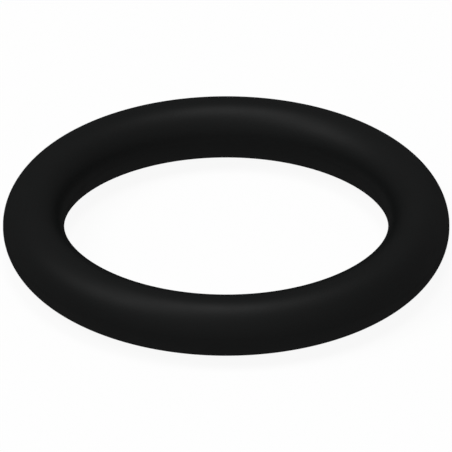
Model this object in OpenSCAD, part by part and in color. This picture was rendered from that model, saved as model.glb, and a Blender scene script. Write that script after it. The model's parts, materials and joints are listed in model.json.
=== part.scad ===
// A moulded rubber O-ring, lying flat with its axis upright and its centre at the origin.
// The section is round. The two halves of the mould meet on the ring's middle plane, and the
// flash that they leave there is trimmed off, which leaves a narrow straight land round the
// bore and another round the rim.

/* [Ring] */
// Inside diameter, across the land in the bore
inside_diameter = 18.64; // [6:0.01:60]
// Thickness of the round section, from the lower face to the upper one
section_diameter = 3.53; // [1.5:0.01:7]

/* [Trimmed flash] */
// Height of the straight land round the bore
bore_land = 0.25; // [0.05:0.01:0.8]
// Height of the straight land round the rim
rim_land = 0.25; // [0.05:0.01:0.8]

/* [Hidden] */
$fn = 180;

rubber_black = "#1b1c1d";

section_radius = section_diameter / 2;
bore_radius = inside_diameter / 2;

// How far a straight land of this height lies inside the round of the section
function trim_depth(land) = section_radius - sqrt(pow(section_radius, 2) - pow(land / 2, 2));

// The round of the section is centred this far from the ring's axis
section_centre = bore_radius + section_radius - trim_depth(bore_land);
rim_radius = section_centre + section_radius - trim_depth(rim_land);

// The round section, cut straight at the bore and at the rim
module trimmed_section() {
    // taller than the round, so that only its two upright edges cut
    clear_height = 2 * section_diameter;
    intersection() {
        translate([section_centre, 0]) circle(r = section_radius);
        translate([bore_radius, -clear_height / 2]) square([rim_radius - bore_radius, clear_height]);
    }
}

// The whole ring, moulded in one piece
module o_ring() {
    color(rubber_black) rotate_extrude() trimmed_section();
}

o_ring();
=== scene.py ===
"""A black nitrile rubber o-ring lying on a plain white studio floor.

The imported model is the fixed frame, in metres: the ring's centre is the origin and its axis is Z.
The file is laid out as an add-on, and runs as a script: main() registers the operators and calls
them in order. One makes the ring's dressed surface, the other makes the stage round it.
"""

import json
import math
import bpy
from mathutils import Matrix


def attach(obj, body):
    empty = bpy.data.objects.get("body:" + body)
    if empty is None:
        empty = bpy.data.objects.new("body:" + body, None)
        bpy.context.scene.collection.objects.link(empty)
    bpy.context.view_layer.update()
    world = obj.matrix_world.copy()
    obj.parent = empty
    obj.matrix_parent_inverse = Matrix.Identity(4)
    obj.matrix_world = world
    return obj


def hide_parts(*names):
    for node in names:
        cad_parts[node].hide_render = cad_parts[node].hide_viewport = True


bl_info = {
    "name": "Rubber O-Ring",
    "version": (1, 0, 0),
    "blender": (4, 5, 0),
    "location": "View3D > Sidebar > O-Ring",
    "description": "Makes a moulded rubber O-ring and a plain studio stage for it",
    "category": "Add Mesh",
}

import bpy
import numpy as np
from mathutils import Vector

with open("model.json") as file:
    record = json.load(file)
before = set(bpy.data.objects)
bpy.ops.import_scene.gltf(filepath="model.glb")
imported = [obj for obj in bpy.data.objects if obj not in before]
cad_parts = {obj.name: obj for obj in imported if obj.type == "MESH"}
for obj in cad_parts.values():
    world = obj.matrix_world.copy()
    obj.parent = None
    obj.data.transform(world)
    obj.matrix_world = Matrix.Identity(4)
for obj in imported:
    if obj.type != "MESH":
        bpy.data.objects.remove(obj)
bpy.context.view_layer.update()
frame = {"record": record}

RING_NODE = "o_ring"
RING_BODY = "root"

# A millimetre, in metres
MM = 0.001

# The photograph's frame, and where the ring lies in it, in pixels from its upper left corner
PHOTO_WIDTH_PX = 452
RING_WIDTH_PX = 446.5
RING_CENTRE_PX = (226.2, 226.0)


def mount(name):
    """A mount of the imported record, which holds the ring's exact sizes."""
    return next(m for m in frame["record"]["mounts"] if m["name"] == name)


def linear(hex_colour):
    """An sRGB hex colour such as "#1A1B1C" as the linear red, green and blue that Blender holds."""
    srgb = np.array([int(hex_colour[i : i + 2], 16) for i in (1, 3, 5)]) / 255
    low, high = srgb / 12.92, ((srgb + 0.055) / 1.055) ** 2.4
    return tuple(float(x) for x in np.where(srgb <= 0.04045, low, high))


BORE = mount("bore")["dims"]
RIM = mount("rim")["dims"]
SECTION_RADIUS = mount("upper_face")["pos_m"][2]


# Settings


class RingSettings(bpy.types.PropertyGroup):
    """Sizes of the moulded ring and the colour of its rubber."""

    inside_diameter: bpy.props.FloatProperty(
        name="Inside Diameter",
        description="Across the hole, between the trimmed lands",
        default=2 * BORE["r_mm"] * MM,
        unit="LENGTH",
        precision=5,
    )
    outside_diameter: bpy.props.FloatProperty(
        name="Outside Diameter",
        description="Across the whole ring, between the trimmed lands",
        default=2 * RIM["r_mm"] * MM,
        unit="LENGTH",
        precision=5,
    )
    section_height: bpy.props.FloatProperty(
        name="Section Height",
        description="Thickness of the round section, from the lower face to the upper one",
        default=2 * SECTION_RADIUS,
        unit="LENGTH",
        precision=5,
    )
    bore_land: bpy.props.FloatProperty(
        name="Bore Land",
        description="Height of the straight land round the bore, where the flash is trimmed off",
        default=BORE["length_mm"] * MM,
        unit="LENGTH",
        precision=5,
    )
    rim_land: bpy.props.FloatProperty(
        name="Rim Land",
        description="Height of the straight land round the rim, where the flash is trimmed off",
        default=RIM["length_mm"] * MM,
        unit="LENGTH",
        precision=5,
    )
    steps_round: bpy.props.IntProperty(
        name="Steps Round",
        description="Faces round the ring",
        default=480,
        min=12,
    )
    steps_over: bpy.props.IntProperty(
        name="Steps Over",
        description="Faces over each half of the section, from the rim's land to the bore's",
        default=72,
        min=4,
    )
    rubber_colour: bpy.props.FloatVectorProperty(
        name="Rubber",
        description="Colour of the rubber itself, under the sheen of its surface",
        default=linear("#090A0A"),
        subtype="COLOR",
        min=0,
        max=1,
    )


class StageSettings(bpy.types.PropertyGroup):
    """The camera's angle, the light and the floor. The three levels of light make 1 together, at
    which a colour shows as it is."""

    elevation: bpy.props.FloatProperty(
        name="Camera Elevation",
        description="Angle of the camera above the floor",
        default=math.radians(30.97),
        subtype="ANGLE",
    )
    key_level: bpy.props.FloatProperty(
        name="Key Level",
        description="Light that the softbox overhead gives the floor, where 1 shows a colour as it is",
        default=0.53,
    )
    key_lean: bpy.props.FloatVectorProperty(
        name="Key Lean",
        description="X and Y of the direction, 1 long, from the ring to the softbox overhead",
        default=(0.0, 0.14),
        size=2,
    )
    key_reach: bpy.props.FloatProperty(
        name="Key Reach",
        description="Half of the angle that the softbox overhead spans, seen from the ring",
        default=0.18,
        subtype="ANGLE",
    )
    side_level: bpy.props.FloatProperty(
        name="Side Level",
        description="Light that the softbox to the left gives the floor, on the same scale",
        default=0.39,
    )
    side_lean: bpy.props.FloatVectorProperty(
        name="Side Lean",
        description="X and Y of the direction, 1 long, from the ring to the softbox to the left",
        default=(-0.57, 0.0),
        size=2,
    )
    side_reach: bpy.props.FloatProperty(
        name="Side Reach",
        description="Half of the angle that the softbox to the left spans, seen from the ring",
        default=0.24,
        subtype="ANGLE",
    )
    fill_level: bpy.props.FloatProperty(
        name="Fill Level",
        description="Light that the room gives from all round, on the same scale",
        default=0.08,
    )
    floor_colour: bpy.props.FloatVectorProperty(
        name="Floor",
        description="Colour of the pale floor",
        default=linear("#F5F5F5"),
        subtype="COLOR",
        min=0,
        max=1,
    )
    floor_shadow: bpy.props.FloatProperty(
        name="Floor Shadow",
        description="How much of the ring's shadow shows on the floor, where 1 is all of it",
        default=0.07,
        subtype="FACTOR",
        min=0,
        max=1,
    )


# Materials


def add_node(tree, kind, links=(), **settings):
    """Adds a shader node. links pairs an input's name with what feeds it. A setting is the value of
    the input of that name, with _ for a space, or else of the node's own property of that name."""
    node = tree.nodes.new(kind)
    for name, value in settings.items():
        socket = node.inputs.get(name.replace("_", " "))
        if socket is None:
            setattr(node, name, value)
        else:
            socket.default_value = value
    for name, source in links:
        tree.links.new(source, node.inputs[name])
    return node


def new_material(name):
    """An empty material with nodes, and its node tree."""
    material = bpy.data.materials.new(name)
    material.use_nodes = True
    material.node_tree.nodes.clear()
    return material, material.node_tree


def moulded_nitrile_rubber(colour, land):
    """Nitrile rubber filled with carbon black, moulded in a fine-blasted cavity and left as it comes.

    The filler makes it near black and a little cool. The blasted cavity leaves a fine matt grain,
    which spreads the light of a lamp into a wide soft band along the ring, and which hides most of
    the shine that a polished surface has at its edges."""
    material, tree = new_material("moulded_nitrile_rubber")
    point = add_node(tree, "ShaderNodeTexCoord").outputs["Object"]
    dulled, trimmed = bloom(tree, point), trimmed_land(tree, point, land)
    roughness = add_node(
        tree, "ShaderNodeMath", [(0, dulled), (1, trimmed)], operation="ADD", use_clamp=True
    ).outputs[0]
    relief = grain_relief(tree, point)
    # the grain leaves about a fifth of the shine that the index alone would give
    satin = add_node(
        tree,
        "ShaderNodeBsdfPrincipled",
        [("Roughness", roughness), ("Normal", relief)],
        Base_Color=(*colour, 1),
        IOR=1.52,
        Specular_IOR_Level=0.099,
    )
    dull = add_node(tree, "ShaderNodeBsdfDiffuse", [("Normal", relief)], Color=(*colour, 1))
    # seen along the surface, the grain hides most of that as well, but not all
    slant = add_node(tree, "ShaderNodeLayerWeight", Blend=0.763).outputs["Facing"]
    hidden = add_node(tree, "ShaderNodeMapRange", [("Value", slant)], To_Max=0.94)
    skin = add_node(
        tree,
        "ShaderNodeMixShader",
        [("Fac", hidden.outputs[0]), (1, satin.outputs[0]), (2, dull.outputs[0])],
    )
    add_node(tree, "ShaderNodeOutputMaterial", [("Surface", skin.outputs[0])])
    return material


def bloom(tree, point):
    """The roughness of the skin, where wax that has come to the surface dulls it in faint patches,
    one to three millimetres wide."""
    patch_width = 2.0 * MM
    patches = add_node(
        tree,
        "ShaderNodeTexNoise",
        [("Vector", point)],
        Scale=1 / patch_width,
        Detail=3,
        Roughness=0.6,
    )
    return add_node(
        tree,
        "ShaderNodeMapRange",
        [("Value", patches.outputs[0])],
        From_Min=0.3,
        From_Max=0.7,
        To_Min=0.475,
        To_Max=0.515,
    ).outputs[0]


def trimmed_land(tree, point, land):
    """What the trimmed lands add to the roughness: the cut rubber there is duller than the moulded
    skin. They lie at the middle plane, so that their height picks them out, and the change fades
    over a fifth of half their height to either side of their edges."""
    fade = 0.2
    height = add_node(tree, "ShaderNodeSeparateXYZ", [(0, point)]).outputs["Z"]
    level = add_node(tree, "ShaderNodeMath", [(0, height)], operation="ABSOLUTE").outputs[0]
    return add_node(
        tree,
        "ShaderNodeMapRange",
        [("Value", level)],
        From_Min=(1 - fade) * land / 2,
        From_Max=(1 + fade) * land / 2,
        To_Min=0.03,
        To_Max=0.0,
    ).outputs[0]


def grain_relief(tree, point):
    """The grain of the blasted cavity, which gives the soft bands of light a faint tooth.

    The grit leaves pits about 0.05 mm across. That is too fine to show, so the grain is drawn at
    0.12 mm, two pixels of the picture."""
    grain_width, grain_depth = 0.12 * MM, 0.01 * MM
    grain = add_node(
        tree,
        "ShaderNodeTexNoise",
        [("Vector", point)],
        Scale=1 / grain_width,
        Detail=2,
        Roughness=0.5,
    )
    return add_node(
        tree,
        "ShaderNodeBump",
        [("Height", grain.outputs[0])],
        Strength=0.6,
        Distance=grain_depth,
    ).outputs[0]


def white_where_seen(tree):
    """1 for the rays that show a surface, straight, in what shines or through what is clear, and 0
    for those that only gather its light."""
    ray = add_node(tree, "ShaderNodeLightPath").outputs
    seen = ray["Is Camera Ray"]
    for kind in ("Is Glossy Ray", "Is Transmission Ray"):
        seen = add_node(
            tree, "ShaderNodeMath", [(0, seen), (1, ray[kind])], operation="MAXIMUM"
        ).outputs[0]
    return seen


def white_floor(colour, shadow):
    """Plain matt white paint on the upper side of a clear sheet.

    Where it is seen, most of it is even white, and the rest is the paint, which keeps the shadow
    that lies under the ring. Light that it sends back is that of the paint alone. From below, the
    sheet is clear, so that the ring's underside shows."""
    material, tree = new_material("white_floor")
    paint = add_node(tree, "ShaderNodeBsdfDiffuse", Color=(*colour, 1))
    white = add_node(tree, "ShaderNodeEmission", Color=(1, 1, 1, 1), Strength=1.0)
    even = add_node(
        tree,
        "ShaderNodeMixShader",
        [(1, white.outputs[0]), (2, paint.outputs[0])],
        Fac=shadow,
    )
    look = add_node(
        tree,
        "ShaderNodeMixShader",
        [("Fac", white_where_seen(tree)), (1, paint.outputs[0]), (2, even.outputs[0])],
    )
    under = add_node(tree, "ShaderNodeNewGeometry").outputs["Backfacing"]
    clear = add_node(tree, "ShaderNodeBsdfTransparent", Color=(1, 1, 1, 1))
    sheet = add_node(
        tree,
        "ShaderNodeMixShader",
        [("Fac", under), (1, look.outputs[0]), (2, clear.outputs[0])],
    )
    add_node(tree, "ShaderNodeOutputMaterial", [("Surface", sheet.outputs[0])])
    return material


# Surfaces


def trimmed_section(ring):
    """The ring's section, as distances from the axis and heights, from the rim's land upwards.

    Each half is an arc of the round section between the ends of the two lands, at even angles. The
    lands are straight and upright between the arcs' ends, with even points between."""
    radius = ring.section_height / 2
    rim_angle = math.asin(ring.rim_land / 2 / radius)
    bore_angle = math.asin(ring.bore_land / 2 / radius)
    centre = ring.inside_diameter / 2 + radius * math.cos(bore_angle)
    over = np.linspace(rim_angle, math.pi - bore_angle, ring.steps_over + 1)
    arc_x, arc_z = centre + radius * np.cos(over), radius * np.sin(over)
    # from the top of a land to its foot, without the ends, which the arcs hold
    steps_down = 4
    down = np.linspace(1, -1, steps_down + 1)[1:-1]
    bore_x = np.full(len(down), ring.inside_diameter / 2)
    rim_x = np.full(len(down), ring.outside_diameter / 2)
    across = np.concatenate([arc_x, bore_x, arc_x[::-1], rim_x])
    height = np.concatenate(
        [arc_z, down * ring.bore_land / 2, -arc_z[::-1], -down * ring.rim_land / 2]
    )
    return across, height


def turned_surface(name, across, height, steps_round):
    """A mesh made by turning a closed outline about the Z axis.

    A point of the outline at distance d from the axis and height h becomes, at the angle a,
    (d cos a, d sin a, h). The outline runs anticlockwise, seen with the axis on its left, so that
    the faces look outwards. Its last point joins its first."""
    turn = np.linspace(0, 2 * math.pi, steps_round, endpoint=False)[:, None]
    points = np.stack(
        [across * np.cos(turn), across * np.sin(turn), height + 0 * turn], axis=-1
    )
    rows, columns = steps_round, len(across)
    row = np.arange(rows)[:, None]
    column = np.arange(columns)[None, :]
    next_row, next_column = (row + 1) % rows, (column + 1) % columns
    faces = np.stack(
        [
            row * columns + column,
            next_row * columns + column,
            next_row * columns + next_column,
            row * columns + next_column,
        ],
        axis=-1,
    ).reshape(-1, 4)
    mesh = bpy.data.meshes.new(name)
    mesh.from_pydata(points.reshape(-1, 3), [], faces)
    mesh.shade_smooth()

    # a map for painting: it runs once round the ring and once over the outline, both from 0 to 1
    wraps = mesh.uv_layers.new(name="wrap")
    u = np.stack([row, row + 1, row + 1, row], axis=-1) / rows + 0 * column[..., None]
    v = np.stack([column, column, column + 1, column + 1], axis=-1) / columns + 0 * row[..., None]
    wraps.data.foreach_set("uv", np.stack([u, v], axis=-1).astype(np.float32).ravel())
    return mesh


def add_to_scene(mesh, material):
    """Puts a mesh in the scene as an object of the same name, at the origin, with one material."""
    piece = bpy.data.objects.new(mesh.name, mesh)
    bpy.context.scene.collection.objects.link(piece)
    mesh.materials.append(material)
    return piece


# Stage


def make_floor(height, colour, shadow):
    """A flat round sheet that faces upwards. At the angle a, its edge is at (r cos a, r sin a)."""
    radius, steps = 1.5, 96
    turn = np.linspace(0, 2 * math.pi, steps, endpoint=False)
    edge = np.stack([radius * np.cos(turn), radius * np.sin(turn), height + 0 * turn], axis=-1)
    mesh = bpy.data.meshes.new("studio_floor")
    mesh.from_pydata(edge, [], [range(steps)])
    add_to_scene(mesh, white_floor(colour, shadow))


def make_softbox(name, level, lean, reach):
    """A square softbox that faces the ring, so far off that its light is even over the ring.

    level, lean and reach are what the settings whose names end so say."""
    distance = 3.0
    way = Vector((*lean, math.sqrt(1 - lean[0] ** 2 - lean[1] ** 2)))
    lamp = bpy.data.lights.new(name, "AREA")
    lamp.shape = "SQUARE"
    lamp.size = 2 * distance * math.tan(reach)
    # a lamp of p watts lights what faces it, d away, at p / (pi d)^2 times white
    lamp.energy = level / way.z * (math.pi * distance) ** 2
    box = bpy.data.objects.new(name, lamp)
    box.location = way * distance
    box.rotation_euler = way.to_track_quat("Z", "Y").to_euler()
    bpy.context.scene.collection.objects.link(box)


def make_room(scene, level):
    """Pale walls and ceiling all round: they light the ring evenly, and where they are seen, straight
    or in what shines, they are white."""
    world = bpy.data.worlds.new("room")
    world.use_nodes = True
    tree = world.node_tree
    tree.nodes.clear()
    light = add_node(tree, "ShaderNodeBackground", Color=(1, 1, 1, 1), Strength=level)
    white = add_node(tree, "ShaderNodeBackground", Color=(1, 1, 1, 1), Strength=1.0)
    room = add_node(
        tree,
        "ShaderNodeMixShader",
        [("Fac", white_where_seen(tree)), (1, light.outputs[0]), (2, white.outputs[0])],
    )
    add_node(tree, "ShaderNodeOutputWorld", [("Surface", room.outputs[0])])
    scene.world = world


def make_camera(scene, elevation, ring_width):
    """A camera that sees in parallel, as the photograph does, with the ring at its place there."""
    # clear of the ring; seen in parallel, it looks the same from any distance
    distance = 0.4
    lens = bpy.data.cameras.new("camera")
    lens.type = "ORTHO"
    lens.ortho_scale = ring_width * PHOTO_WIDTH_PX / RING_WIDTH_PX
    lens.clip_start = 0.01
    lens.clip_end = 10
    back = Vector((0, -math.cos(elevation), math.sin(elevation)))
    up = Vector((0, math.sin(elevation), math.cos(elevation)))
    pixel = lens.ortho_scale / PHOTO_WIDTH_PX
    middle = PHOTO_WIDTH_PX / 2
    aside = Vector((middle - RING_CENTRE_PX[0], 0, 0)) * pixel
    above = up * (RING_CENTRE_PX[1] - middle) * pixel
    camera = bpy.data.objects.new("camera", lens)
    camera.location = back * distance + aside + above
    camera.rotation_euler = back.to_track_quat("Z", "Y").to_euler()
    scene.collection.objects.link(camera)
    scene.camera = camera


# Operators and panel


class OBJECT_OT_moulded_ring(bpy.types.Operator):
    """Make the dressed o-ring and let it stand for the CAD one"""

    bl_idname = "object.moulded_ring"
    bl_label = "Moulded Ring"
    bl_options = {"REGISTER", "UNDO"}

    def execute(self, context):
        ring = context.scene.moulded_ring
        across, height = trimmed_section(ring)
        mesh = turned_surface("moulded_ring", across, height, ring.steps_round)
        land = min(ring.bore_land, ring.rim_land)
        piece = add_to_scene(mesh, moulded_nitrile_rubber(ring.rubber_colour, land))
        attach(piece, RING_BODY)
        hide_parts(RING_NODE)
        return {"FINISHED"}


class OBJECT_OT_studio_stage(bpy.types.Operator):
    """Make the floor, the light and the camera"""

    bl_idname = "object.studio_stage"
    bl_label = "Studio Stage"
    bl_options = {"REGISTER", "UNDO"}

    def execute(self, context):
        stage = context.scene.studio_stage
        ring = context.scene.moulded_ring
        make_floor(-ring.section_height / 2, stage.floor_colour, stage.floor_shadow)
        make_softbox("key_softbox", stage.key_level, stage.key_lean, stage.key_reach)
        make_softbox("side_softbox", stage.side_level, stage.side_lean, stage.side_reach)
        make_room(context.scene, stage.fill_level)
        make_camera(context.scene, stage.elevation, ring.outside_diameter)
        context.scene.view_settings.view_transform = "Standard"
        return {"FINISHED"}


class VIEW3D_PT_o_ring(bpy.types.Panel):
    """Lists the ring's and the stage's settings and operators"""

    bl_label = "Rubber O-Ring"
    bl_idname = "VIEW3D_PT_o_ring"
    bl_space_type = "VIEW_3D"
    bl_region_type = "UI"
    bl_category = "O-Ring"

    def draw(self, context):
        for settings, operator in (
            (context.scene.moulded_ring, OBJECT_OT_moulded_ring),
            (context.scene.studio_stage, OBJECT_OT_studio_stage),
        ):
            column = self.layout.column()
            for name in settings.__annotations__:
                column.prop(settings, name)
            column.operator(operator.bl_idname)


CLASSES = (
    RingSettings,
    StageSettings,
    OBJECT_OT_moulded_ring,
    OBJECT_OT_studio_stage,
    VIEW3D_PT_o_ring,
)


def register():
    """Registers the classes and gives each scene its settings."""
    for each in CLASSES:
        bpy.utils.register_class(each)
    bpy.types.Scene.moulded_ring = bpy.props.PointerProperty(type=RingSettings)
    bpy.types.Scene.studio_stage = bpy.props.PointerProperty(type=StageSettings)


def unregister():
    """Takes back what register() does, in the opposite order."""
    del bpy.types.Scene.studio_stage
    del bpy.types.Scene.moulded_ring
    for each in reversed(CLASSES):
        bpy.utils.unregister_class(each)


def main():
    """Makes the ring and its stage."""
    register()
    bpy.ops.object.moulded_ring()
    bpy.ops.object.studio_stage()


if __name__ == "__main__":
    main()
